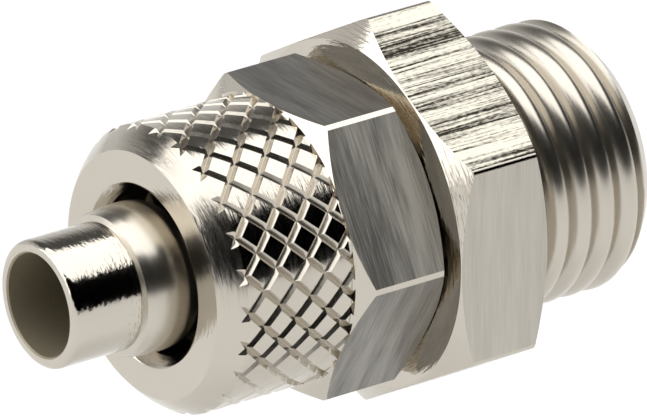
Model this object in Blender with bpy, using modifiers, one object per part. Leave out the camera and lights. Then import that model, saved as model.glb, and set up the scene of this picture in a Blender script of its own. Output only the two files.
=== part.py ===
# Straight threaded hose fitting: a turned body and the knurled union nut that clamps the hose.
# Metres. World +X is the fitting's axis and leaves through the port thread, world +Z is up.
# The origin is on the axis, in the plane of the shoulder that seals on the port.
# Each piece is modelled along its own Z axis, and an empty turns that axis onto world +X.
import math

import bmesh
import bpy
from mathutils import Matrix

# Body hexagon
BODY_HEX_FLATS = 0.0170
BODY_HEX_FACE_DIAMETER = 0.0169
BODY_HEX_LENGTH = 0.0050
BODY_HEX_CHAMFER_DEG = 27.5

# Port thread, parallel pipe thread of 55 degrees, right-handed
PORT_THREAD_DIAMETER = 0.013157
PORT_THREAD_PITCH = 0.001337
PORT_THREAD_DEPTH = 0.000856
PORT_THREAD_LENGTH = 0.0080
PORT_THREAD_FLANK_DEG = 27.5
PORT_ROOT_LAND = 0.00026
PORT_END_CHAMFER = 0.00095
PORT_RELIEF_LENGTH = 0.00120
PORT_RELIEF_EXTRA_DEPTH = 0.00004
PORT_RELIEF_FACE_DEPTH = 0.00008
PORT_SEAL_CLEARANCE = 0.00012
PORT_THREAD_PHASE_DEG = 325.0

# Bores
SPIGOT_BORE_DIAMETER = 0.0050
PORT_BORE_DIAMETER = 0.0080
PORT_BORE_DEPTH = 0.0100
PORT_BORE_CONE_DEG = 59.0
PORT_BORE_CHAMFER = 0.0004

# Hose spigot, with a bulge that grips the hose
SPIGOT_DIAMETER = 0.0062
SPIGOT_LENGTH = 0.0181
SPIGOT_RIM_RADIUS = 0.00030
BULGE_START = 0.00378
BULGE_STEP = 0.00027
BULGE_STEP_LENGTH = 0.00009
BULGE_SHOULDER_DIAMETER = 0.00702
BULGE_SHOULDER_LENGTH = 0.00036
BULGE_DIAMETER = 0.0072
BULGE_RISE_LENGTH = 0.00102
BULGE_FALL_LENGTH = 0.00175
BULGE_FALL_POWER = 4

# Thread of the union nut, drawn plain at its crest
NUT_THREAD_DIAMETER = 0.0119
NUT_THREAD_LENGTH = 0.0046
NUT_THREAD_CHAMFER = 0.00060
NUT_THREAD_RELIEF_LENGTH = 0.0010
NUT_THREAD_RELIEF_DEPTH = 0.00070
NUT_THREAD_CLEARANCE = 0.00015

# Union nut
NUT_SEAT_GAP = 0.00005
NUT_LENGTH = 0.01215
NUT_HEX_FLATS = 0.0140
NUT_HEX_CORNERS = 0.0160
NUT_HEX_LENGTH = 0.0051
NUT_HEX_CHAMFER_DEG = 30.0
NUT_HEX_TURN_DEG = 30.0
NUT_FACE_DIAMETER = 0.0120
NUT_NOSE_LENGTH = 0.00115
NUT_NOSE_BULGE = 0.00006
NUT_MOUTH_DIAMETER = 0.0080
NUT_MOUTH_CHAMFER = 0.00048
NUT_MOUTH_CHAMFER_DEG = 37.7
NUT_MOUTH_LIP = 0.00020
NUT_MOUTH_LENGTH = 0.0027
NUT_CLAMP_CONE_DEG = 50.0
NUT_REAR_CHAMFER = 0.0003

# Diamond knurl of the nut
KNURL_DIAMETER = 0.01395
KNURL_STARTS = 24
KNURL_HELIX_DEG = 46.0
KNURL_GROOVE_WIDTH = 0.00036
KNURL_GROOVE_DEPTH = 0.00022
KNURL_LEFT_DEPTH_CUT = 0.00003
KNURL_RIGHT_PHASE_DEG = 9.13
KNURL_LEFT_PHASE_DEG = 1.87
KNURL_OVERRUN = 0.00007
KNURL_CUTTER_HEIGHT = 0.00025

# Mesh resolution
BODY_STEPS = 48
NUT_STEPS = 40
ARC_POINTS = 4
LIP_POINTS = 2
FALL_STEPS = 6
KNURL_STEP_DEG = 12.0
CUT_MARGIN = 0.0010
MERGE_DISTANCE = 0.000001
SMOOTH_ANGLE_DEG = 32.0

# Places along the axis, measured from the sealing shoulder
HEX_FRONT = -BODY_HEX_LENGTH
TIP = HEX_FRONT - SPIGOT_LENGTH
NUT_REAR = HEX_FRONT - NUT_SEAT_GAP
NUT_FRONT = NUT_REAR - NUT_LENGTH
NUT_HEX_FRONT = NUT_REAR - NUT_HEX_LENGTH
THREAD_END = PORT_THREAD_LENGTH


def clear_scene():
    for old in list(bpy.data.objects):
        bpy.data.objects.remove(old, do_unlink=True)


def new_collection(name):
    collection = bpy.data.collections.new(name)
    bpy.context.scene.collection.children.link(collection)
    return collection


def metal(name, colour, roughness):
    material = bpy.data.materials.new(name)
    material.use_nodes = True
    shader = material.node_tree.nodes["Principled BSDF"]
    shader.inputs["Base Color"].default_value = (*colour, 1.0)
    shader.inputs["Metallic"].default_value = 1.0
    shader.inputs["Roughness"].default_value = roughness
    return material


def arc(centre_r, centre_z, radius, start_deg, end_deg, points=ARC_POINTS):
    """Points of an arc in the profile plane, as pairs of radius and place along the axis."""
    step = (end_deg - start_deg) / points
    angles = [math.radians(start_deg + step * i) for i in range(points + 1)]
    return [(centre_r + radius * math.cos(a), centre_z + radius * math.sin(a)) for a in angles]


def link(name, mesh, collection, axis_empty):
    piece = bpy.data.objects.new(name, mesh)
    collection.objects.link(piece)
    piece.parent = axis_empty
    return piece


def turned(name, profile, steps, collection, axis_empty):
    """A closed profile turned round the Z axis. It is given up its outer side and back down the bore."""
    mesh = bpy.data.meshes.new(name)
    count = len(profile)
    corners = [(r, 0.0, z) for r, z in reversed(profile)]
    edges = [(i, (i + 1) % count) for i in range(count)]
    mesh.from_pydata(corners, edges, [])
    piece = link(name, mesh, collection, axis_empty)
    screw = piece.modifiers.new("turning", "SCREW")
    screw.axis = "Z"
    screw.angle = math.tau
    screw.steps = steps
    screw.render_steps = steps
    screw.use_merge_vertices = True
    screw.merge_threshold = MERGE_DISTANCE
    screw.use_smooth_shade = True
    return piece


def hex_bar(name, flats, z_low, z_high, turn_deg, collection, axis_empty):
    """A bar of hexagon stock, with a corner at +X before it is turned by turn_deg."""
    mesh = bpy.data.meshes.new(name)
    shape = bmesh.new()
    radius = flats / 2 / math.cos(math.radians(30))
    place = Matrix.Translation((0, 0, (z_low + z_high) / 2)) @ Matrix.Rotation(math.radians(turn_deg), 4, "Z")
    bmesh.ops.create_cone(
        shape, cap_ends=True, cap_tris=False, segments=6, radius1=radius, radius2=radius,
        depth=z_high - z_low, matrix=place)
    first = min(shape.verts, key=lambda v: abs(math.atan2(v.co.y, v.co.x) - math.radians(turn_deg)))
    offset = math.atan2(first.co.y, first.co.x) - math.radians(turn_deg)
    bmesh.ops.rotate(shape, verts=shape.verts, cent=(0, 0, 0), matrix=Matrix.Rotation(-offset, 3, "Z"))
    shape.to_mesh(mesh)
    shape.free()
    return link(name, mesh, collection, axis_empty)


def swept_groove(shape, section, turn_rad, advance, steps, start_rad, start_z):
    """Adds one helical cutter to shape: section is radius and height points, swept round Z."""
    turn = Matrix.Rotation(start_rad, 3, "Z")
    corners = []
    for r, z in section:
        corner = shape.verts.new((r, 0.0, start_z + z))
        corner.co = turn @ corner.co
        corners.append(corner)
    face = shape.faces.new(corners)
    geometry = [face] + list(face.edges) + corners
    bmesh.ops.spin(
        shape, geom=geometry, cent=(0, 0, 0), axis=(0, 0, 1), dvec=(0, 0, advance / steps),
        angle=turn_rad, steps=steps, use_duplicate=False)


def cutter_from(name, shape, collection, axis_empty):
    bmesh.ops.recalc_face_normals(shape, faces=shape.faces)
    mesh = bpy.data.meshes.new(name)
    shape.to_mesh(mesh)
    shape.free()
    cutter = link(name, mesh, collection, axis_empty)
    return cutter


def boolean(piece, cutter, operation):
    cutter.hide_render = True
    cutter.display_type = "WIRE"
    step = piece.modifiers.new(operation.lower() + "_" + cutter.name, "BOOLEAN")
    step.operation = operation
    step.solver = "EXACT"
    step.object = cutter


def finish_piece(piece, material):
    """Applies the cuts, so that turned faces can be shaded smooth between true edges."""
    bpy.context.view_layer.update()
    evaluated = piece.evaluated_get(bpy.context.evaluated_depsgraph_get())
    piece.data = bpy.data.meshes.new_from_object(evaluated)
    piece.data.name = piece.name
    piece.modifiers.clear()
    piece.data.materials.clear()
    piece.data.materials.append(material)
    piece.data.shade_smooth()
    piece.data.set_sharp_from_angle(angle=math.radians(SMOOTH_ANGLE_DEG))


def chamfer_height(outer, inner, angle_deg):
    return (outer - inner) * math.tan(math.radians(angle_deg))


def spigot_profile():
    """The spigot from its bore edge at the tip to its root inside the nut."""
    tube = SPIGOT_DIAMETER / 2
    bulge = BULGE_DIAMETER / 2
    points = [(SPIGOT_BORE_DIAMETER / 2, TIP)]
    points += arc(tube - SPIGOT_RIM_RADIUS, TIP + SPIGOT_RIM_RADIUS, SPIGOT_RIM_RADIUS, -90, 0)
    start = TIP + BULGE_START
    step_end = start + BULGE_STEP_LENGTH
    rise_start = step_end + BULGE_SHOULDER_LENGTH
    low = BULGE_SHOULDER_DIAMETER / 2
    points += [(tube, start), (tube + BULGE_STEP, step_end), (low, rise_start)]
    for i in range(1, ARC_POINTS):
        t = i / (ARC_POINTS - 1)
        points.append((low + (bulge - low) * math.sin(t * math.pi / 2), rise_start + BULGE_RISE_LENGTH * t))
    peak = rise_start + BULGE_RISE_LENGTH
    for i in range(1, FALL_STEPS + 1):
        t = math.sin(math.pi / 2 * i / FALL_STEPS)
        points.append((bulge - (bulge - tube) * t ** BULGE_FALL_POWER, peak + BULGE_FALL_LENGTH * t))
    return points


def nut_thread_profile():
    """The threaded seat of the nut, from the spigot's root to the front face of the hexagon."""
    crest = NUT_THREAD_DIAMETER / 2
    root = crest - NUT_THREAD_RELIEF_DEPTH
    start = HEX_FRONT - NUT_THREAD_LENGTH
    relief = HEX_FRONT - NUT_THREAD_RELIEF_LENGTH
    return [
        (SPIGOT_DIAMETER / 2, start),
        (crest - NUT_THREAD_CHAMFER, start),
        (crest, start + NUT_THREAD_CHAMFER),
        (crest, relief),
        (root, relief + NUT_THREAD_RELIEF_DEPTH / 2),
        (root, HEX_FRONT),
    ]


def hexagon_profile():
    """The turned form of the body hexagon: chamfered corners at the front and at the shoulder."""
    face = BODY_HEX_FACE_DIAMETER / 2
    corner = BODY_HEX_FLATS / 2 / math.cos(math.radians(30)) + CUT_MARGIN
    rise = chamfer_height(corner, face, BODY_HEX_CHAMFER_DEG)
    return [(face, HEX_FRONT), (corner, HEX_FRONT + rise), (corner, -rise), (face, 0.0)]


def port_profile():
    """The port end, from the inner edge of the seal to the end face, and back through the bores."""
    crest = PORT_THREAD_DIAMETER / 2
    relief = crest - PORT_THREAD_DEPTH - PORT_RELIEF_EXTRA_DEPTH
    run_out = (crest - relief) * math.tan(math.radians(PORT_THREAD_FLANK_DEG))
    bore = PORT_BORE_DIAMETER / 2
    spigot_bore = SPIGOT_BORE_DIAMETER / 2
    bore_end = THREAD_END - PORT_BORE_DEPTH
    cone = (bore - spigot_bore) / math.tan(math.radians(PORT_BORE_CONE_DEG))
    seal = crest + PORT_SEAL_CLEARANCE
    return [
        (seal, 0.0),
        (seal - PORT_RELIEF_FACE_DEPTH, -PORT_RELIEF_FACE_DEPTH),
        (relief, -PORT_RELIEF_FACE_DEPTH),
        (relief, PORT_RELIEF_LENGTH),
        (crest, PORT_RELIEF_LENGTH + run_out),
        (crest, THREAD_END - PORT_END_CHAMFER),
        (crest - PORT_END_CHAMFER, THREAD_END),
        (bore + PORT_BORE_CHAMFER, THREAD_END),
        (bore, THREAD_END - PORT_BORE_CHAMFER),
        (bore, bore_end),
        (spigot_bore, bore_end - cone),
    ]


def port_thread_cutter(collection, axis_empty):
    """The helical groove of the port thread. It starts inside the relief and leaves past the end face."""
    crest = PORT_THREAD_DIAMETER / 2
    slope = math.tan(math.radians(PORT_THREAD_FLANK_DEG))
    half_floor = PORT_ROOT_LAND / 2
    outside = crest + PORT_RELIEF_EXTRA_DEPTH
    half_top = half_floor + (outside - crest + PORT_THREAD_DEPTH) * slope
    section = [
        (crest - PORT_THREAD_DEPTH, -half_floor),
        (crest - PORT_THREAD_DEPTH, half_floor),
        (outside, half_top),
        (outside, -half_top),
    ]
    start = half_top + PORT_RELIEF_EXTRA_DEPTH
    turns = (THREAD_END + PORT_THREAD_PITCH - start) / PORT_THREAD_PITCH
    steps = math.ceil(turns * BODY_STEPS)
    shape = bmesh.new()
    swept_groove(
        shape, section, math.tau * steps / BODY_STEPS, PORT_THREAD_PITCH * steps / BODY_STEPS, steps,
        math.radians(PORT_THREAD_PHASE_DEG), start)
    return cutter_from("port_thread_groove", shape, collection, axis_empty)


def body_piece(parts, cutters, axis_empty):
    profile = spigot_profile() + nut_thread_profile() + hexagon_profile() + port_profile()
    body = turned("fitting_body", profile, BODY_STEPS, parts, axis_empty)
    bar = hex_bar(
        "body_hex_bar", BODY_HEX_FLATS, TIP - CUT_MARGIN, THREAD_END + CUT_MARGIN, 0.0, cutters, axis_empty)
    boolean(body, bar, "INTERSECT")
    boolean(body, port_thread_cutter(cutters, axis_empty), "DIFFERENCE")
    return body


def nut_nose_profile():
    """The front of the nut: flat face, then a slightly crowned chamfer up to the knurl."""
    face = NUT_FACE_DIAMETER / 2
    knurl = KNURL_DIAMETER / 2
    length = math.hypot(knurl - face, NUT_NOSE_LENGTH)
    out_r = NUT_NOSE_LENGTH / length
    out_z = -(knurl - face) / length
    points = []
    for i in range(3):
        t = i / 2
        crown = 4 * NUT_NOSE_BULGE * t * (1 - t)
        radius = face + (knurl - face) * t + out_r * crown
        points.append((radius, NUT_FRONT + NUT_NOSE_LENGTH * t + out_z * crown))
    return points


def nut_mouth_profile():
    """The chamfered mouth, from its narrowest ring out to the rounded lip on the front face."""
    mouth = NUT_MOUTH_DIAMETER / 2
    edge = mouth + NUT_MOUTH_CHAMFER
    depth = NUT_MOUTH_CHAMFER / math.tan(math.radians(NUT_MOUTH_CHAMFER_DEG))
    lead = NUT_MOUTH_LIP * math.tan(math.radians(90 - NUT_MOUTH_CHAMFER_DEG) / 2)
    lip = arc(
        edge + lead, NUT_FRONT + NUT_MOUTH_LIP, NUT_MOUTH_LIP, 180 + NUT_MOUTH_CHAMFER_DEG, 270, LIP_POINTS)
    return [(mouth, NUT_FRONT + depth)] + lip


def nut_profile():
    mouth = NUT_MOUTH_DIAMETER / 2
    knurl = KNURL_DIAMETER / 2
    corner = NUT_HEX_CORNERS / 2
    bore = NUT_THREAD_DIAMETER / 2 + NUT_THREAD_CLEARANCE
    rise = chamfer_height(corner, knurl, NUT_HEX_CHAMFER_DEG)
    cone_start = NUT_FRONT + NUT_MOUTH_LENGTH
    cone = (bore - mouth) / math.tan(math.radians(NUT_CLAMP_CONE_DEG))
    points = nut_nose_profile()
    points += [
        (knurl, NUT_HEX_FRONT),
        (corner, NUT_HEX_FRONT + rise),
        (corner, NUT_REAR - rise),
        (knurl, NUT_REAR),
        (bore + NUT_REAR_CHAMFER, NUT_REAR),
        (bore, NUT_REAR - NUT_REAR_CHAMFER),
        (bore, cone_start + cone),
        (mouth, cone_start),
    ]
    return points + nut_mouth_profile()


def knurl_cutter(name, hand, phase_deg, depth, collection, axis_empty):
    """One set of knurl grooves. Hand is 1 or -1, and the grooves stop at the hexagon."""
    knurl = KNURL_DIAMETER / 2
    helix = math.radians(KNURL_HELIX_DEG)
    widen = 1 / math.sin(helix)
    outside = knurl + KNURL_CUTTER_HEIGHT
    half_top = KNURL_GROOVE_WIDTH / 2 * widen * (1 + KNURL_CUTTER_HEIGHT / depth)
    section = [(knurl - depth, 0.0), (outside, half_top), (outside, -half_top)]
    start_z = NUT_FRONT - CUT_MARGIN
    span = NUT_HEX_FRONT + CUT_MARGIN - start_z
    step_rad = math.radians(KNURL_STEP_DEG)
    rise_per_step = knurl * step_rad / math.tan(helix)
    steps = math.ceil(span / rise_per_step)
    shape = bmesh.new()
    for i in range(KNURL_STARTS):
        start_rad = math.tau * i / KNURL_STARTS + math.radians(phase_deg)
        swept_groove(
            shape, section, hand * step_rad * steps, rise_per_step * steps, steps, start_rad, start_z)
    bmesh.ops.recalc_face_normals(shape, faces=shape.faces)
    end = NUT_HEX_FRONT + KNURL_OVERRUN
    cut = bmesh.ops.bisect_plane(
        shape, geom=list(shape.verts) + list(shape.edges) + list(shape.faces), dist=MERGE_DISTANCE,
        plane_co=(0, 0, end), plane_no=(0, 0, 1), clear_outer=True)
    rim = [e for e in cut["geom_cut"] if isinstance(e, bmesh.types.BMEdge)]
    bmesh.ops.holes_fill(shape, edges=rim, sides=0)
    return cutter_from(name, shape, collection, axis_empty)


def nut_piece(parts, cutters, axis_empty):
    nut = turned("union_nut", nut_profile(), NUT_STEPS, parts, axis_empty)
    bar = hex_bar(
        "nut_hex_bar", NUT_HEX_FLATS, NUT_FRONT - CUT_MARGIN, NUT_REAR + CUT_MARGIN, NUT_HEX_TURN_DEG,
        cutters, axis_empty)
    boolean(nut, bar, "INTERSECT")
    right = knurl_cutter("knurl_right", 1, KNURL_RIGHT_PHASE_DEG, KNURL_GROOVE_DEPTH, cutters, axis_empty)
    left_depth = KNURL_GROOVE_DEPTH - KNURL_LEFT_DEPTH_CUT
    left = knurl_cutter("knurl_left", -1, KNURL_LEFT_PHASE_DEG, left_depth, cutters, axis_empty)
    boolean(nut, right, "DIFFERENCE")
    boolean(nut, left, "DIFFERENCE")
    return nut


def main():
    clear_scene()
    parts = new_collection("threaded_fitting")
    cutters = new_collection("cutters")
    axis_empty = bpy.data.objects.new("fitting_axis", None)
    parts.objects.link(axis_empty)
    axis_empty.rotation_euler = (0.0, math.radians(90), 0.0)

    body = body_piece(parts, cutters, axis_empty)
    nut = nut_piece(parts, cutters, axis_empty)
    finish_piece(body, metal("nickel_plate", (0.62, 0.58, 0.51), 0.22))
    finish_piece(nut, metal("nickel_plate_knurled", (0.60, 0.56, 0.49), 0.26))


main()
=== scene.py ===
import math

import bmesh
import bpy
from mathutils import Matrix, Vector


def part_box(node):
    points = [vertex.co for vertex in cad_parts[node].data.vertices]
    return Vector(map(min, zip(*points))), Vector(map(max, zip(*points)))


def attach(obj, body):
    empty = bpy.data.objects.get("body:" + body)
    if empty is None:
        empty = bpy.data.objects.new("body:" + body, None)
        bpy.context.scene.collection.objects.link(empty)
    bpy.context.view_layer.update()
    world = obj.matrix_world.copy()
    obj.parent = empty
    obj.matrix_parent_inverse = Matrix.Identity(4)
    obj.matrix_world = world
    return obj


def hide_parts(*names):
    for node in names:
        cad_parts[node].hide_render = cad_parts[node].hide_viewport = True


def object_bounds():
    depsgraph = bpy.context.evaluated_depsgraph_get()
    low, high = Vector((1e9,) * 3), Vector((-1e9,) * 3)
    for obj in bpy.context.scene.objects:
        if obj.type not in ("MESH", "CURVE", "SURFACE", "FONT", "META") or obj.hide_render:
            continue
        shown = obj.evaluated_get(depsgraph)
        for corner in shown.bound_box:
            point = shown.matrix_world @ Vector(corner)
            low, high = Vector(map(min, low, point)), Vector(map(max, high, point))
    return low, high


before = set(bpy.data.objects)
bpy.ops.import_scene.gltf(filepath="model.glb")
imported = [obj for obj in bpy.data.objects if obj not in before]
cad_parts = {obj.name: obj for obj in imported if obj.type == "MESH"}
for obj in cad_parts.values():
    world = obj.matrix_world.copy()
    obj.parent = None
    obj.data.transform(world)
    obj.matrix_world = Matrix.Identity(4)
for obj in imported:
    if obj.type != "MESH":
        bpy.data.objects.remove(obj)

# The looks of a straight threaded hose fitting: finer metal for both pieces, their nickel plating,
# and a plain studio. Metres. +X runs along the fitting's axis and leaves through the port thread.
# An angle round the axis is measured from +Z towards +Y.

CAD_BOX = [list(corner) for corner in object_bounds()]
BODY_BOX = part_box("fitting_body")
NUT_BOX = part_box("union_nut")

# Places along the axis
TIP = BODY_BOX[0][0]
THREAD_END = BODY_BOX[1][0]
NUT_FRONT = NUT_BOX[0][0]
NUT_REAR = NUT_BOX[1][0]
SHOULDER = 0.0

# Body hexagon
BODY_HEX_FLATS = 0.0170
BODY_HEX_FACE_DIAMETER = 0.0169
BODY_HEX_LENGTH = 0.0050
BODY_HEX_CHAMFER_DEG = 27.5
BODY_HEX_CORNER_DEG = 0.0
BODY_CORNER_SOFTNESS = 0.00016
HEX_FRONT = SHOULDER - BODY_HEX_LENGTH

# Port thread
PORT_THREAD_DIAMETER = 0.013157
PORT_THREAD_PITCH = 0.001337
PORT_THREAD_DEPTH = 0.000856
PORT_THREAD_SHOWN_DEPTH = 0.00055
PORT_THREAD_CREST_POWER = 2.4
PORT_THREAD_FLANK_DEG = 27.5
PORT_END_CHAMFER = 0.00095
PORT_RELIEF_LENGTH = 0.00120
PORT_RELIEF_EXTRA_DEPTH = 0.00004
PORT_RELIEF_FACE_DEPTH = 0.00008
PORT_SEAL_CLEARANCE = 0.00012
PORT_CREST_PLACE = 0.0050
PORT_CREST_DEG = -60.0

# Bores
SPIGOT_BORE_DIAMETER = 0.0050
PORT_BORE_DIAMETER = 0.0080
PORT_BORE_DEPTH = 0.0100
PORT_BORE_CONE_DEG = 59.0
PORT_BORE_CHAMFER = 0.0004

# Hose spigot
SPIGOT_DIAMETER = 0.0062
SPIGOT_RIM_RADIUS = 0.00030
SPIGOT_BORE_CHAMFER = 0.00008
BULGE_START = 0.00378
BULGE_STEP = 0.00027
BULGE_STEP_LENGTH = 0.00009
BULGE_SHOULDER_DIAMETER = 0.00702
BULGE_SHOULDER_LENGTH = 0.00036
BULGE_DIAMETER = 0.0072
BULGE_RISE_LENGTH = 0.00102
BULGE_FALL_LENGTH = 0.00175
BULGE_FALL_POWER = 4

# Seat of the union nut
NUT_THREAD_DIAMETER = 0.0119
NUT_THREAD_LENGTH = 0.0046
NUT_THREAD_CHAMFER = 0.00060
NUT_THREAD_RELIEF_LENGTH = 0.0010
NUT_THREAD_RELIEF_DEPTH = 0.00070
NUT_THREAD_CLEARANCE = 0.00015

# Union nut
NUT_HEX_FLATS = 0.0140
NUT_HEX_CORNERS = 0.0160
NUT_HEX_LENGTH = 0.0051
NUT_HEX_CHAMFER_DEG = 30.0
NUT_HEX_CORNER_DEG = 30.0
NUT_FACE_DIAMETER = 0.0120
NUT_NOSE_LENGTH = 0.00115
NUT_NOSE_BULGE = 0.00006
NUT_MOUTH_DIAMETER = 0.0080
NUT_MOUTH_CHAMFER = 0.00048
NUT_MOUTH_CHAMFER_DEG = 37.7
NUT_MOUTH_LIP = 0.00020
NUT_MOUTH_LENGTH = 0.0027
NUT_CLAMP_CONE_DEG = 50.0
NUT_REAR_CHAMFER = 0.0003
NUT_HEX_FRONT = NUT_REAR - NUT_HEX_LENGTH

# Diamond knurl
KNURL_DIAMETER = 0.01395
KNURL_STARTS = 24
KNURL_HELIX_DEG = 46.0
KNURL_GROOVE_FLOOR = 0.00001
KNURL_GROOVE_TOP = 0.00036
KNURL_GROOVE_DEPTH = 0.00021
KNURL_CROSSING_PLACE = -0.0151
KNURL_CROSSING_DEG = -20.5
KNURL_OVERRUN = 0.00007
KNURL_SPARE_PITCHES = 3

# Mesh resolution. THREAD_STEP_OFFSET keeps the thread's vertices off those of the turned metal.
TURNED_STEPS = 288
THREAD_STEPS = 192
THREAD_STEP_OFFSET = 0.37
FINE_ARC_POINTS = 8
THREAD_SECTION_POINTS = 14
THREAD_SPARE_TURNS = 6
THREAD_LEAD_TURNS = 2
CORNER_SEGMENTS = 3
CUT_MARGIN = 0.0010
CUT_TOLERANCE = 0.0000001
RIM_TOLERANCE = 0.000001
KEEP_RADIUS = 0.0120
SHARP_DEG = 24.0

# Finishes, in the order in which paint takes them, and what tells the faces of each
TURNED, CUT, FLAT, OTHER_FLAT, BORE, NOSE = range(6)
INWARD = 0.3
SKEW = 0.1
STEEP = 0.95
FLAT_TILT = 0.01
FLAT_TOLERANCE = 0.00001
FLAT_SPREAD_DEG = 5.0
# Body flats whose milled finish carries painted reflection
BODY_MILLED_PAINTED_REFLECTION_DEG = (-30.0, 150.0)
# Nut flats that get a lighter copy of the ground finish: painted light
NUT_PAINTED_LIGHT_DEG = (-60.0, 120.0)

# Nickel plating. Grinding runs across a flat, and scores run along the axis.
NICKEL = (0.575, 0.535, 0.465)
NICKEL_SHADE = (0.54, 0.50, 0.435)
CLOUD_SCALE = 350.0
TURNING_MARK = 0.00015
TURNING_LENGTH_DEG = 9.0
TURNING_DEPTH = 0.000020
TURNING_LOW = 0.3
TURNING_HIGH = 0.7
TURNING_SHINE = 0.8
TURNING_DULLNESS = 1.3
KNURL_TURNING_DEPTH = 0.000012
NOSE_TURNING_DEPTH = 0.000018
GRINDING_WIDTH = 0.00009
GRINDING_LENGTH = 0.0025
GRINDING_BAND_WIDTH = 0.00072
GRINDING_BAND_LENGTH = 0.0075
GRINDING_BAND_SHARE = 0.5
GRINDING_DARK = 0.35
GRINDING_LIGHT = 0.62
SCORE_WIDTH = 0.00010
SCORE_LENGTH = 0.0060
SCORE_SHARE = 0.42
SCORE_GRAIN_LENGTH = 0.00030
SCORE_GRAIN_SHARE = 0.18
SCORE_BAND_WIDTH = 0.00070
SCORE_BAND_LENGTH = 0.048
SCORE_BAND_SHARE = 0.40
# Dark bands across the body's milled flat, at set places: painted reflection
PAINTED_REFLECTION_ROW_PITCH = 0.00235
PAINTED_REFLECTION_ROW_PLACE = -0.0018
PAINTED_REFLECTION_ROW_SHARE = 0.03
SCORE_DARK = 0.435
SCORE_LIGHT = 0.55
# The bore's brownish tint, darkened as painted shade inside the bore
SPIGOT_BORE_TINT_AND_SHADE = (0.40, 0.352, 0.255)
BORE_GRAIN_SCALE = 9000.0
BORE_SHADE = 0.8
BORE_METALLIC = 0.6
BORE_ROUGHNESS = 0.55

# Studio: a pale floor, a soft box overhead, a soft panel at the spigot's side, and a dim dome round them.
# The dome and the lamps are hidden from the camera.
FLOOR_DROP = 0.025
FLOOR_SIZE = 8.0
FLOOR_COLOUR = (0.86, 0.86, 0.86)
FLOOR_SEEN_COLOUR = (0.99, 0.99, 0.99)
SOFT_BOX_HEIGHT = 1.50
SOFT_BOX_LENGTH = 2.70
SOFT_BOX_WIDTH = 1.86
SOFT_BOX_TURN_DEG = -15.0
SOFT_BOX_LIGHT = 2.10
SIDE_PANEL_DISTANCE = 1.80
SIDE_PANEL_WIDTH = 2.20
SIDE_PANEL_OFFSET = 0.84
SIDE_PANEL_HEIGHT = 2.10
SIDE_PANEL_LIGHT = 1.90
DOME_RADIUS = 5.0
DOME_SEGMENTS = 48
HORIZON_LIGHT = 0.80
DOME_LIGHT = 0.10
DOME_PALE_HEIGHT = 0.16
DOME_DARK_HEIGHT = 0.56
NEAR_SIDE = -0.15
FAR_SIDE = 0.25

# Camera
CAMERA_PLACE = Vector((-0.38478, -0.51997, 0.28457))
CAMERA_LOOK = Vector((0.53790, 0.73992, -0.40396))
CAMERA_ROLL_DEG = 0.17
CAMERA_LENS = 834.6
SENSOR_WIDTH = 36.0
CAMERA_NEAREST = 0.01


def arc(centre_r, centre_x, radius, start_deg, end_deg):
    """Points of an arc in the profile plane, as pairs of radius and place along the axis."""
    step = math.radians(end_deg - start_deg) / FINE_ARC_POINTS
    angles = [math.radians(start_deg) + step * i for i in range(FINE_ARC_POINTS + 1)]
    return [(centre_r + radius * math.cos(a), centre_x + radius * math.sin(a)) for a in angles]


def polar(radius, angle, x):
    """A point at a radius and an angle round the axis."""
    return Vector((x, radius * math.sin(angle), radius * math.cos(angle)))


def mesh_object(name, shape):
    bmesh.ops.recalc_face_normals(shape, faces=shape.faces)
    mesh = bpy.data.meshes.new(name)
    shape.to_mesh(mesh)
    shape.free()
    piece = bpy.data.objects.new(name, mesh)
    bpy.context.scene.collection.objects.link(piece)
    return piece


def turned(name, profile):
    """A closed profile turned round the axis."""
    shape = bmesh.new()
    rings = []
    for i in range(TURNED_STEPS):
        angle = math.tau * i / TURNED_STEPS
        rings.append([shape.verts.new(polar(r, angle, x)) for r, x in profile])
    count = len(profile)
    for i in range(TURNED_STEPS):
        here = rings[i]
        there = rings[(i + 1) % TURNED_STEPS]
        for j in range(count):
            k = (j + 1) % count
            shape.faces.new((here[j], here[k], there[k], there[j]))
    return mesh_object(name, shape)


def hex_bar(name, flats, x_low, x_high, corner_deg, softness):
    """Hexagon stock along the axis. Its long edges are broken by softness."""
    shape = bmesh.new()
    radius = flats / 2 / math.cos(math.radians(30))
    ends = []
    for x in (x_low, x_high):
        corners = [polar(radius, math.radians(corner_deg + 60 * i), x) for i in range(6)]
        ends.append([shape.verts.new(c) for c in corners])
    shape.faces.new(ends[0])
    shape.faces.new(ends[1])
    for i in range(6):
        j = (i + 1) % 6
        shape.faces.new((ends[0][i], ends[0][j], ends[1][j], ends[1][i]))
    if softness > 0:
        long_edges = [e for e in shape.edges if e.verts[0].co.x != e.verts[1].co.x]
        bmesh.ops.bevel(
            shape, geom=long_edges, offset=softness, segments=CORNER_SEGMENTS, profile=0.5, affect="EDGES")
    return mesh_object(name, shape)


def close_keeper(shape, x_plain, x_wide, x_far):
    """Cuts an open tube square at both ends and closes it. From x_wide to x_far it becomes a wide drum."""
    side = 1 if x_far > x_wide else -1
    for x, direction in ((x_plain, -side), (x_wide, side)):
        bmesh.ops.bisect_plane(
            shape, geom=list(shape.verts) + list(shape.edges) + list(shape.faces), dist=CUT_TOLERANCE,
            plane_co=(x, 0, 0), plane_no=(direction, 0, 0), clear_outer=True)
    plain_rim = [e for e in shape.edges if e.is_boundary and abs(e.verts[0].co.x - x_plain) < RIM_TOLERANCE]
    bmesh.ops.edgeloop_fill(shape, edges=plain_rim)
    rim = [e for e in shape.edges if e.is_boundary]
    for x in (x_wide, x_far):
        made = bmesh.ops.extrude_edge_only(shape, edges=rim)["geom"]
        for vert in [v for v in made if isinstance(v, bmesh.types.BMVert)]:
            grow = KEEP_RADIUS / math.hypot(vert.co.y, vert.co.z)
            vert.co = (x, vert.co.y * grow, vert.co.z * grow)
        rim = [e for e in made if isinstance(e, bmesh.types.BMEdge) and e.is_boundary]
    bmesh.ops.edgeloop_fill(shape, edges=rim)


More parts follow.
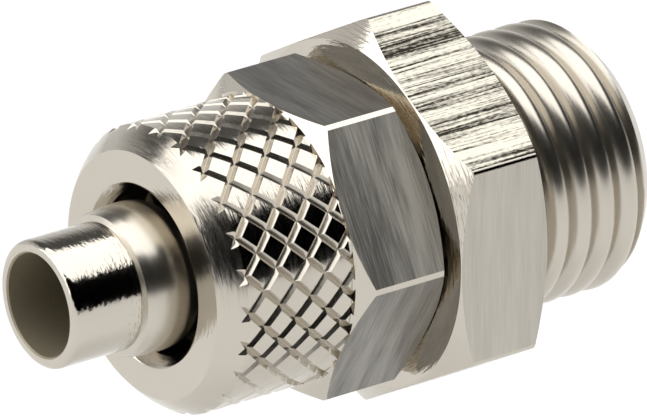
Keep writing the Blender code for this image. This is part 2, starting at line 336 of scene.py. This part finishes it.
def knurl_keeper():
    """All that the knurling tool leaves: a drum with two crossing sets of grooves, wide at the hexagon."""
    knurl = KNURL_DIAMETER / 2
    helix = math.radians(KNURL_HELIX_DEG)
    round_pitch = math.tau * knurl / KNURL_STARTS
    axial_pitch = round_pitch / math.tan(helix)
    across_pitch = round_pitch * math.cos(helix)
    above = CUT_MARGIN / 2
    slope = (KNURL_GROOVE_TOP - KNURL_GROOVE_FLOOR) / 2 / KNURL_GROOVE_DEPTH
    floor = KNURL_GROOVE_FLOOR / 2 / across_pitch
    top = (KNURL_GROOVE_TOP / 2 + slope * above) / across_pitch
    low = knurl - KNURL_GROOVE_DEPTH
    high = knurl + above
    section = [(-top, high), (-floor, low), (floor, low), (top, high)]
    count = len(section)
    span = math.ceil((NUT_HEX_FRONT - NUT_FRONT) / axial_pitch) + KNURL_SPARE_PITCHES
    middle = round(((NUT_HEX_FRONT + NUT_FRONT) / 2 - KNURL_CROSSING_PLACE) / axial_pitch * 2)
    around = KNURL_STARTS * count
    shape = bmesh.new()
    found = {}

    def line(index):
        offset, radius = section[index % count]
        return index // count + offset, radius

    def vert(i, j):
        key = (j % around, i - j)
        if key not in found:
            a, radius_a = line(i)
            b, radius_b = line(j)
            angle = math.radians(KNURL_CROSSING_DEG) + math.pi / KNURL_STARTS * (a + b)
            x = KNURL_CROSSING_PLACE + axial_pitch / 2 * (a - b)
            found[key] = shape.verts.new(polar(min(radius_a, radius_b), angle, x))
        return found[key]

    for j in range(around):
        for i in range(j + (middle - span) * count, j + (middle + span) * count):
            corners = [vert(i, j), vert(i + 1, j), vert(i + 1, j + 1), vert(i, j + 1)]
            wall_a = line(i)[1] != line(i + 1)[1]
            wall_b = line(j)[1] != line(j + 1)[1]
            if wall_a and wall_b:
                opposite = (line(i)[1] > line(i + 1)[1]) == (line(j)[1] > line(j + 1)[1])
                if opposite:
                    shape.faces.new((corners[0], corners[1], corners[2]))
                    shape.faces.new((corners[0], corners[2], corners[3]))
                else:
                    shape.faces.new((corners[0], corners[1], corners[3]))
                    shape.faces.new((corners[1], corners[2], corners[3]))
            else:
                shape.faces.new(corners)
    close_keeper(shape, NUT_FRONT - CUT_MARGIN, NUT_HEX_FRONT + KNURL_OVERRUN, NUT_REAR + CUT_MARGIN)
    return mesh_object("knurl_keeper", shape)


def thread_section():
    """One pitch of the thread, as pairs of place and radius: a broad rounded crest between narrow roots."""
    crest = PORT_THREAD_DIAMETER / 2
    points = []
    for i in range(THREAD_SECTION_POINTS):
        t = i / THREAD_SECTION_POINTS
        away = 2 * min(t, 1 - t)
        drop = PORT_THREAD_SHOWN_DEPTH * away ** PORT_THREAD_CREST_POWER
        points.append((PORT_THREAD_PITCH * t, crest - drop))
    return points


def thread_keeper():
    """All that the threading tool leaves: a right-hand helix, wide from its relief backwards."""
    section = thread_section()
    count = len(section)
    turns = math.ceil((THREAD_END - SHOULDER) / PORT_THREAD_PITCH) + THREAD_SPARE_TURNS
    first = round((SHOULDER - PORT_CREST_PLACE) / PORT_THREAD_PITCH) - THREAD_LEAD_TURNS
    shape = bmesh.new()
    columns = turns * count
    grid = []
    for i in range(THREAD_STEPS):
        angle = math.tau * (i + THREAD_STEP_OFFSET) / THREAD_STEPS
        lag = PORT_THREAD_PITCH * (angle - math.radians(PORT_CREST_DEG)) / math.tau
        row = []
        for k in range(columns):
            place, radius = section[k % count]
            x = PORT_CREST_PLACE + PORT_THREAD_PITCH * (first + k // count) + place - lag
            row.append(shape.verts.new(polar(radius, angle, x)))
        grid.append(row)
    for i in range(THREAD_STEPS):
        last = i == THREAD_STEPS - 1
        shift = count if last else 0
        there = grid[0] if last else grid[i + 1]
        for k in range(shift, columns - 1):
            shape.faces.new((grid[i][k], grid[i][k + 1], there[k + 1 - shift], there[k - shift]))
    close_keeper(shape, THREAD_END + CUT_MARGIN, SHOULDER + PORT_RELIEF_LENGTH / 2, TIP - CUT_MARGIN)
    return mesh_object("thread_keeper", shape)


def spigot_profile():
    tube = SPIGOT_DIAMETER / 2
    bulge = BULGE_DIAMETER / 2
    bore = SPIGOT_BORE_DIAMETER / 2
    points = [(bore, TIP + SPIGOT_BORE_CHAMFER), (bore + SPIGOT_BORE_CHAMFER, TIP)]
    points += arc(tube - SPIGOT_RIM_RADIUS, TIP + SPIGOT_RIM_RADIUS, SPIGOT_RIM_RADIUS, -90, 0)
    start = TIP + BULGE_START
    step_end = start + BULGE_STEP_LENGTH
    rise_start = step_end + BULGE_SHOULDER_LENGTH
    low = BULGE_SHOULDER_DIAMETER / 2
    points += [(tube, start), (tube + BULGE_STEP, step_end), (low, rise_start)]
    for i in range(1, FINE_ARC_POINTS + 1):
        t = i / FINE_ARC_POINTS
        points.append((low + (bulge - low) * math.sin(t * math.pi / 2), rise_start + BULGE_RISE_LENGTH * t))
    peak = rise_start + BULGE_RISE_LENGTH
    fall_points = 2 * FINE_ARC_POINTS
    for i in range(1, fall_points + 1):
        t = math.sin(math.pi / 2 * i / fall_points)
        points.append((bulge - (bulge - tube) * t ** BULGE_FALL_POWER, peak + BULGE_FALL_LENGTH * t))
    return points


def body_profile():
    crest = NUT_THREAD_DIAMETER / 2
    root = crest - NUT_THREAD_RELIEF_DEPTH
    seat = HEX_FRONT - NUT_THREAD_LENGTH
    relief = HEX_FRONT - NUT_THREAD_RELIEF_LENGTH
    points = spigot_profile()
    points += [
        (SPIGOT_DIAMETER / 2, seat), (crest - NUT_THREAD_CHAMFER, seat), (crest, seat + NUT_THREAD_CHAMFER),
        (crest, relief), (root, relief + NUT_THREAD_RELIEF_DEPTH / 2), (root, HEX_FRONT)]
    face = BODY_HEX_FACE_DIAMETER / 2
    corner = BODY_HEX_FLATS / 2 / math.cos(math.radians(30)) + CUT_MARGIN
    rise = (corner - face) * math.tan(math.radians(BODY_HEX_CHAMFER_DEG))
    points += [(face, HEX_FRONT), (corner, HEX_FRONT + rise), (corner, SHOULDER - rise), (face, SHOULDER)]
    port = PORT_THREAD_DIAMETER / 2
    relief_radius = port - PORT_THREAD_DEPTH - PORT_RELIEF_EXTRA_DEPTH
    over = port + PORT_RELIEF_EXTRA_DEPTH
    run_out = (over - relief_radius) * math.tan(math.radians(PORT_THREAD_FLANK_DEG))
    bore = PORT_BORE_DIAMETER / 2
    spigot_bore = SPIGOT_BORE_DIAMETER / 2
    bore_end = THREAD_END - PORT_BORE_DEPTH
    cone = (bore - spigot_bore) / math.tan(math.radians(PORT_BORE_CONE_DEG))
    seal = port + PORT_SEAL_CLEARANCE
    under = SHOULDER - PORT_RELIEF_FACE_DEPTH
    points += [
        (seal, SHOULDER), (seal - PORT_RELIEF_FACE_DEPTH, under), (relief_radius, under),
        (relief_radius, SHOULDER + PORT_RELIEF_LENGTH),
        (over, SHOULDER + PORT_RELIEF_LENGTH + run_out),
        (over, THREAD_END - PORT_END_CHAMFER - PORT_RELIEF_EXTRA_DEPTH),
        (port - PORT_END_CHAMFER, THREAD_END),
        (bore + PORT_BORE_CHAMFER, THREAD_END), (bore, THREAD_END - PORT_BORE_CHAMFER), (bore, bore_end),
        (spigot_bore, bore_end - cone)]
    return points


def nut_mouth_profile():
    """The chamfered mouth, from its narrowest ring out to the rounded lip on the front face."""
    mouth = NUT_MOUTH_DIAMETER / 2
    edge = mouth + NUT_MOUTH_CHAMFER
    depth = NUT_MOUTH_CHAMFER / math.tan(math.radians(NUT_MOUTH_CHAMFER_DEG))
    lead = NUT_MOUTH_LIP * math.tan(math.radians(90 - NUT_MOUTH_CHAMFER_DEG) / 2)
    lip = arc(edge + lead, NUT_FRONT + NUT_MOUTH_LIP, NUT_MOUTH_LIP, 180 + NUT_MOUTH_CHAMFER_DEG, 270)
    return [(mouth, NUT_FRONT + depth)] + lip


def nut_profile():
    face = NUT_FACE_DIAMETER / 2
    knurl = KNURL_DIAMETER / 2
    mouth = NUT_MOUTH_DIAMETER / 2
    corner = NUT_HEX_CORNERS / 2
    bore = NUT_THREAD_DIAMETER / 2 + NUT_THREAD_CLEARANCE
    length = math.hypot(knurl - face, NUT_NOSE_LENGTH)
    points = []
    for i in range(FINE_ARC_POINTS + 1):
        t = i / FINE_ARC_POINTS
        crown = 4 * NUT_NOSE_BULGE * t * (1 - t) / length
        points.append((
            face + (knurl - face) * t + NUT_NOSE_LENGTH * crown,
            NUT_FRONT + NUT_NOSE_LENGTH * t - (knurl - face) * crown))
    rise = (corner - knurl) * math.tan(math.radians(NUT_HEX_CHAMFER_DEG))
    cone_start = NUT_FRONT + NUT_MOUTH_LENGTH
    cone = (bore - mouth) / math.tan(math.radians(NUT_CLAMP_CONE_DEG))
    points += [
        (knurl, NUT_HEX_FRONT), (corner, NUT_HEX_FRONT + rise), (corner, NUT_REAR - rise), (knurl, NUT_REAR),
        (bore + NUT_REAR_CHAMFER, NUT_REAR), (bore, NUT_REAR - NUT_REAR_CHAMFER), (bore, cone_start + cone),
        (mouth, cone_start)]
    return points + nut_mouth_profile()


def keep_common(piece, keepers):
    """Keeps of the piece only what all keepers hold, and deletes them."""
    for keeper in keepers:
        step = piece.modifiers.new("keep_" + keeper.name, "BOOLEAN")
        step.operation = "INTERSECT"
        step.solver = "EXACT"
        step.object = keeper
    bpy.context.view_layer.update()
    evaluated = piece.evaluated_get(bpy.context.evaluated_depsgraph_get())
    mesh = bpy.data.meshes.new_from_object(evaluated)
    piece.modifiers.clear()
    piece.data = mesh
    for keeper in keepers:
        bpy.data.objects.remove(keeper, do_unlink=True)
    mesh.shade_smooth()
    mesh.set_sharp_from_angle(angle=math.radians(SHARP_DEG))


def paint(piece, flats, finishes, cut_spans, nose_end, other_deg):
    """Gives each face its finish. Cut metal lies askew, or anywhere in cut_spans. The nose slopes
    forwards and ends at nose_end. The other flats are those that face other_deg."""
    mesh = piece.data
    mesh.materials.clear()
    for finish in finishes:
        mesh.materials.append(finish)
    for face in mesh.polygons:
        normal = face.normal
        x, y, z = face.center
        radius = math.hypot(y, z)
        outward = (y * normal.y + z * normal.z) / radius
        round_about = (y * normal.z - z * normal.y) / radius
        if abs(normal.x) <= FLAT_TILT and abs(face.center.dot(normal) - flats / 2) <= FLAT_TOLERANCE:
            angle = math.degrees(math.atan2(normal.y, normal.z))
            other = any(abs((angle - a + 180) % 360 - 180) < FLAT_SPREAD_DEG for a in other_deg)
            face.material_index = OTHER_FLAT if other else FLAT
        elif outward < -INWARD:
            face.material_index = BORE
        elif abs(round_about) > SKEW or any(low < x < high for low, high in cut_spans):
            face.material_index = CUT
        elif x < nose_end and normal.x > -STEEP:
            face.material_index = NOSE
        else:
            face.material_index = TURNED


class Nodes:
    """A short way to write a material's node tree."""

    def __init__(self, name):
        self.material = bpy.data.materials.new(name)
        self.material.use_nodes = True
        self.tree = self.material.node_tree
        self.shader = self.tree.nodes["Principled BSDF"]

    def add(self, kind, **values):
        node = self.tree.nodes.new("ShaderNode" + kind)
        for key, value in values.items():
            setattr(node, key, value)
        return node

    def join(self, source, target):
        self.tree.links.new(source, target)

    def feed(self, node, values):
        """Gives each socket of a node its number or its link, in order."""
        for socket, value in zip(node.inputs, values):
            if isinstance(value, (int, float)):
                socket.default_value = value
            else:
                self.join(value, socket)
        return node.outputs[0]

    def math(self, operation, *values):
        return self.feed(self.add("Math", operation=operation), values)

    def vector(self, x, y, z):
        return self.feed(self.add("CombineXYZ"), (x, y, z))

    def place(self):
        """The coordinates x, y and z of the surface point."""
        split = self.add("SeparateXYZ")
        self.join(self.add("TexCoord").outputs["Object"], split.inputs[0])
        return split.outputs

    def radius(self, y, z):
        return self.math("SQRT", self.math("ADD", self.math("MULTIPLY", y, y), self.math("MULTIPLY", z, z)))

    def angle(self, y, z):
        return self.math("ARCTAN2", y, z)

    def across(self, y, z):
        """The way across a flat, as an arc at the radius of the body's flats."""
        return self.math("MULTIPLY", self.angle(y, z), BODY_HEX_FLATS / 2)

    def marks(self, x, length, across, width):
        """Coordinates for marks that have one size along the axis and another across it."""
        return self.vector(self.math("DIVIDE", x, length), self.math("DIVIDE", across, width), 0.0)

    def noise(self, vector, detail=2.0, roughness=0.5, scale=1.0):
        node = self.add("TexNoise")
        self.join(vector, node.inputs["Vector"])
        node.inputs["Scale"].default_value = scale
        node.inputs["Detail"].default_value = detail
        node.inputs["Roughness"].default_value = roughness
        return node.outputs["Fac"]

    def ramp(self, value, low, high, low_out=0.0, high_out=1.0):
        node = self.add("MapRange")
        self.join(value, node.inputs["Value"])
        node.inputs["From Min"].default_value = low
        node.inputs["From Max"].default_value = high
        node.inputs["To Min"].default_value = low_out
        node.inputs["To Max"].default_value = high_out
        return node.outputs["Result"]

    def mix(self, factor, dark, light):
        """A mix of two colours, which are on sockets 6 and 7, with the result on socket 2."""
        node = self.add("Mix", data_type="RGBA")
        self.join(factor, node.inputs[0])
        node.inputs[6].default_value = (*dark, 1.0)
        node.inputs[7].default_value = (*light, 1.0)
        return node.outputs[2]

    def bump(self, height, depth):
        node = self.add("Bump")
        node.inputs["Strength"].default_value = 1.0
        node.inputs["Distance"].default_value = depth
        self.join(height, node.inputs["Height"])
        self.join(node.outputs["Normal"], self.shader.inputs["Normal"])

    def metal(self, colour, roughness, metallic=1.0):
        self.join(colour, self.shader.inputs["Base Color"])
        self.shader.inputs["Metallic"].default_value = metallic
        self.shader.inputs["Roughness"].default_value = roughness

    def glow(self, strength):
        """Puts an emission in the shader's place."""
        emission = self.add("Emission")
        self.join(strength, emission.inputs["Strength"])
        self.join(emission.outputs[0], self.tree.nodes["Material Output"].inputs["Surface"])
        self.tree.nodes.remove(self.shader)


def turned_nickel(name, roughness, depth):
    """Bright plating over turning marks, which run round the axis. Without depth it is smooth."""
    tree = Nodes(name)
    x, y, z = tree.place()
    cloud = tree.noise(tree.vector(x, y, z), scale=CLOUD_SCALE)
    tree.metal(tree.mix(cloud, NICKEL_SHADE, NICKEL), roughness)
    if depth > 0:
        turning = tree.vector(
            tree.math("DIVIDE", x, TURNING_MARK), tree.math("DIVIDE", tree.radius(y, z), TURNING_MARK),
            tree.math("DIVIDE", tree.angle(y, z), math.radians(TURNING_LENGTH_DEG)))
        streaks = tree.noise(turning, roughness=0.6)
        dullness = tree.ramp(
            streaks, TURNING_LOW, TURNING_HIGH, roughness * TURNING_SHINE, roughness * TURNING_DULLNESS)
        tree.join(dullness, tree.shader.inputs["Roughness"])
        tree.bump(streaks, depth)
    return tree.material


def ground_nickel(name, roughness, depth, dark, light, painted_light_fade=0.0):
    """Plating over a ground flat, with lines that run across it. With its last argument above zero it gets
    lighter towards the nut's rear, which is a painted highlight."""
    tree = Nodes(name)
    x, y, z = tree.place()
    across = tree.across(y, z)
    streaks = tree.noise(tree.marks(x, GRINDING_WIDTH, across, GRINDING_LENGTH), detail=3.0, roughness=0.6)
    bands = tree.noise(tree.marks(x, GRINDING_BAND_WIDTH, across, GRINDING_BAND_LENGTH))
    shade = tree.math(
        "ADD", tree.math("MULTIPLY", streaks, 1 - GRINDING_BAND_SHARE),
        tree.math("MULTIPLY", bands, GRINDING_BAND_SHARE))
    # Painted highlight: lighter from the hexagon's front towards the nut's rear
    if painted_light_fade > 0:
        shade = tree.math("ADD", shade, tree.ramp(x, NUT_HEX_FRONT, NUT_REAR, -painted_light_fade, painted_light_fade))
    tree.metal(tree.mix(tree.ramp(shade, GRINDING_DARK, GRINDING_LIGHT), dark, light), roughness)
    tree.bump(streaks, depth)
    return tree.material


def milled_nickel_painted_reflection(name, roughness, depth, dark, light):
    """Plating over a milled flat, with scores along the axis. The scores are real marks, but their colours,
    from near black to pale, and the dark bands across the flat are painted reflection.
    """
    tree = Nodes(name)
    x, y, z = tree.place()
    across = tree.across(y, z)
    scores = tree.noise(tree.marks(x, SCORE_LENGTH, across, SCORE_WIDTH), roughness=0.6)
    grain = tree.noise(tree.marks(x, SCORE_GRAIN_LENGTH, across, SCORE_WIDTH))
    bands = tree.noise(tree.marks(x, SCORE_BAND_LENGTH, across, SCORE_BAND_WIDTH), detail=1.0)
    shade = tree.math(
        "ADD", tree.math("MULTIPLY", scores, SCORE_SHARE), tree.math("MULTIPLY", grain, SCORE_GRAIN_SHARE))
    shade = tree.math("ADD", shade, tree.math("MULTIPLY", bands, SCORE_BAND_SHARE))
    # Painted reflection: dark bands at set places across the flat
    turn = tree.math("MULTIPLY", tree.math("SUBTRACT", across, PAINTED_REFLECTION_ROW_PLACE), math.tau / PAINTED_REFLECTION_ROW_PITCH)
    painted_reflection_rows = tree.math("MULTIPLY", tree.math("COSINE", turn), PAINTED_REFLECTION_ROW_SHARE)
    shade = tree.math("SUBTRACT", shade, painted_reflection_rows)
    tree.metal(tree.mix(tree.ramp(shade, SCORE_DARK, SCORE_LIGHT), dark, light), roughness)
    tree.bump(scores, depth)
    return tree.material


def bored_nickel(name, colour):
    """The dull inside of a bore. Its brownish colour is darkened, which paints the shade inside the bore."""
    tree = Nodes(name)
    x, y, z = tree.place()
    grain = tree.noise(tree.vector(x, y, z), detail=1.0, scale=BORE_GRAIN_SCALE)
    shade = tuple(BORE_SHADE * part for part in colour)
    tree.metal(tree.mix(grain, shade, colour), BORE_ROUGHNESS, BORE_METALLIC)
    return tree.material


def dress(piece, node, body):
    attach(piece, body)
    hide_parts(node)


def make_body():
    body = turned("body_metal", body_profile())
    bar = hex_bar(
        "body_bar", BODY_HEX_FLATS, TIP - CUT_MARGIN, THREAD_END + CUT_MARGIN, BODY_HEX_CORNER_DEG,
        BODY_CORNER_SOFTNESS)
    keep_common(body, [bar, thread_keeper()])
    turned_finish = turned_nickel("plating_turned", roughness=0.10, depth=TURNING_DEPTH)
    threaded = turned_nickel("plating_threaded", roughness=0.26, depth=0.0)
    ground = ground_nickel(
        "plating_ground_body", roughness=0.30, depth=0.000003, dark=(0.43, 0.405, 0.36),
        light=(0.52, 0.487, 0.426))
    # Painted reflection: the dark colour is near black, so the streaks stand in for what the flat reflects
    milled_painted_reflection = milled_nickel_painted_reflection(
        "plating_milled_body_painted_reflection", roughness=0.25, depth=0.000004, dark=(0.02, 0.016, 0.011),
        light=(0.56, 0.53, 0.45))
    bored = bored_nickel("plating_bored", SPIGOT_BORE_TINT_AND_SHADE)
    finishes = [turned_finish, threaded, ground, milled_painted_reflection, bored]
    bulge_start = TIP + BULGE_START
    bulge_end = (
        bulge_start + BULGE_STEP_LENGTH + BULGE_SHOULDER_LENGTH + BULGE_RISE_LENGTH + BULGE_FALL_LENGTH)
    spans = [(bulge_start, bulge_end), (SHOULDER + PORT_RELIEF_LENGTH, THREAD_END)]
    paint(body, BODY_HEX_FLATS, finishes, spans, TIP, BODY_MILLED_PAINTED_REFLECTION_DEG)
    dress(body, "fitting_body", "body")


def make_nut():
    nut = turned("nut_metal", nut_profile())
    bar = hex_bar(
        "nut_bar", NUT_HEX_FLATS, NUT_FRONT - CUT_MARGIN, NUT_REAR + CUT_MARGIN, NUT_HEX_CORNER_DEG, 0.0)
    keep_common(nut, [bar, knurl_keeper()])
    ground = ground_nickel(
        "plating_ground_nut", roughness=0.42, depth=0.000004, dark=(0.17, 0.163, 0.15),
        light=(0.34, 0.325, 0.295))
    knurled = turned_nickel("plating_knurled", roughness=0.12, depth=KNURL_TURNING_DEPTH)
    groove = turned_nickel("plating_groove", roughness=0.25, depth=0.0)
    # Painted light: a lighter copy of the nut's ground flat finish, with a painted highlight towards the
    # rear
    painted_light_flat = ground_nickel(
        "plating_nut_painted_light", roughness=0.60, depth=0.000003, dark=(0.21, 0.202, 0.185),
        light=(0.65, 0.625, 0.565), painted_light_fade=0.10)
    nose = turned_nickel("plating_nose", roughness=0.20, depth=NOSE_TURNING_DEPTH)
    finishes = [knurled, groove, ground, painted_light_flat, knurled, nose]
    paint(nut, NUT_HEX_FLATS, finishes, [], NUT_FRONT + NUT_NOSE_LENGTH, NUT_PAINTED_LIGHT_DEG)
    dress(nut, "union_nut", "nut")


def make_floor():
    size = FLOOR_SIZE / 2
    level = CAD_BOX[0][2] - FLOOR_DROP
    shape = bmesh.new()
    corners = [(-size, -size, level), (size, -size, level), (size, size, level), (-size, size, level)]
    shape.faces.new([shape.verts.new(c) for c in corners])
    floor = mesh_object("studio_floor", shape)
    tree = Nodes("floor_paper")
    path = tree.add("LightPath")
    seen = path.outputs["Is Camera Ray"]
    for kind in ("Is Glossy Ray", "Is Transmission Ray"):
        seen = tree.math("MAXIMUM", seen, path.outputs[kind])
    tree.join(tree.mix(seen, FLOOR_COLOUR, FLOOR_SEEN_COLOUR), tree.shader.inputs["Base Color"])
    tree.shader.inputs["Roughness"].default_value = 1.0
    tree.shader.inputs["Specular IOR Level"].default_value = 0.0
    floor.data.materials.append(tree.material)


def make_dome():
    """A dim dome. Towards +Y it is pale at the horizon and falls off upwards; the near side is black."""
    shape = bmesh.new()
    bmesh.ops.create_uvsphere(
        shape, u_segments=DOME_SEGMENTS, v_segments=DOME_SEGMENTS // 2, radius=DOME_RADIUS)
    dome = mesh_object("studio_dome", shape)
    dome.data.shade_smooth()
    tree = Nodes("dome_cloth")
    y, z = tree.place()[1:]
    height = tree.math("DIVIDE", z, DOME_RADIUS)
    fall = tree.ramp(height, DOME_PALE_HEIGHT, DOME_DARK_HEIGHT, HORIZON_LIGHT, DOME_LIGHT)
    side = tree.ramp(tree.math("DIVIDE", y, DOME_RADIUS), NEAR_SIDE, FAR_SIDE)
    tree.glow(tree.math("MULTIPLY", fall, side))
    dome.data.materials.append(tree.material)
    dome.visible_camera = False


def make_lamp(name, length, width, light, place, turn):
    """A soft rectangle of light, hidden from the camera. Its light is given for each square metre."""
    lamp = bpy.data.lights.new(name, "AREA")
    lamp.shape = "RECTANGLE"
    lamp.size = length
    lamp.size_y = width
    lamp.energy = light * math.pi * length * width
    box = bpy.data.objects.new(name, lamp)
    box.location = place
    box.rotation_euler = turn
    box.visible_camera = False
    bpy.context.scene.collection.objects.link(box)


def make_lights():
    make_lamp(
        "soft_box", SOFT_BOX_LENGTH, SOFT_BOX_WIDTH, SOFT_BOX_LIGHT, (0, 0, SOFT_BOX_HEIGHT),
        (0, 0, math.radians(SOFT_BOX_TURN_DEG)))
    make_lamp(
        "side_panel", SIDE_PANEL_HEIGHT, SIDE_PANEL_WIDTH, SIDE_PANEL_LIGHT,
        (-SIDE_PANEL_DISTANCE, SIDE_PANEL_OFFSET, SIDE_PANEL_HEIGHT / 2), (0, math.radians(-90), 0))
    world = bpy.data.worlds.new("studio")
    bpy.context.scene.world = world
    world.use_nodes = True
    world.node_tree.nodes["Background"].inputs["Color"].default_value = (1, 1, 1, 1)
    world.node_tree.nodes["Background"].inputs["Strength"].default_value = 1.0


def make_camera():
    camera_data = bpy.data.cameras.new("camera")
    camera_data.lens = CAMERA_LENS
    camera_data.sensor_width = SENSOR_WIDTH
    camera_data.clip_start = CAMERA_NEAREST
    camera = bpy.data.objects.new("camera", camera_data)
    roll = Matrix.Rotation(math.radians(CAMERA_ROLL_DEG), 4, "Z")
    camera.matrix_world = (
        Matrix.Translation(CAMERA_PLACE) @ CAMERA_LOOK.to_track_quat("-Z", "Y").to_matrix().to_4x4() @ roll)
    bpy.context.scene.collection.objects.link(camera)
    bpy.context.scene.camera = camera


make_body()
make_nut()
make_floor()
make_dome()
make_lights()
make_camera()
bpy.context.scene.view_settings.view_transform = "Standard"
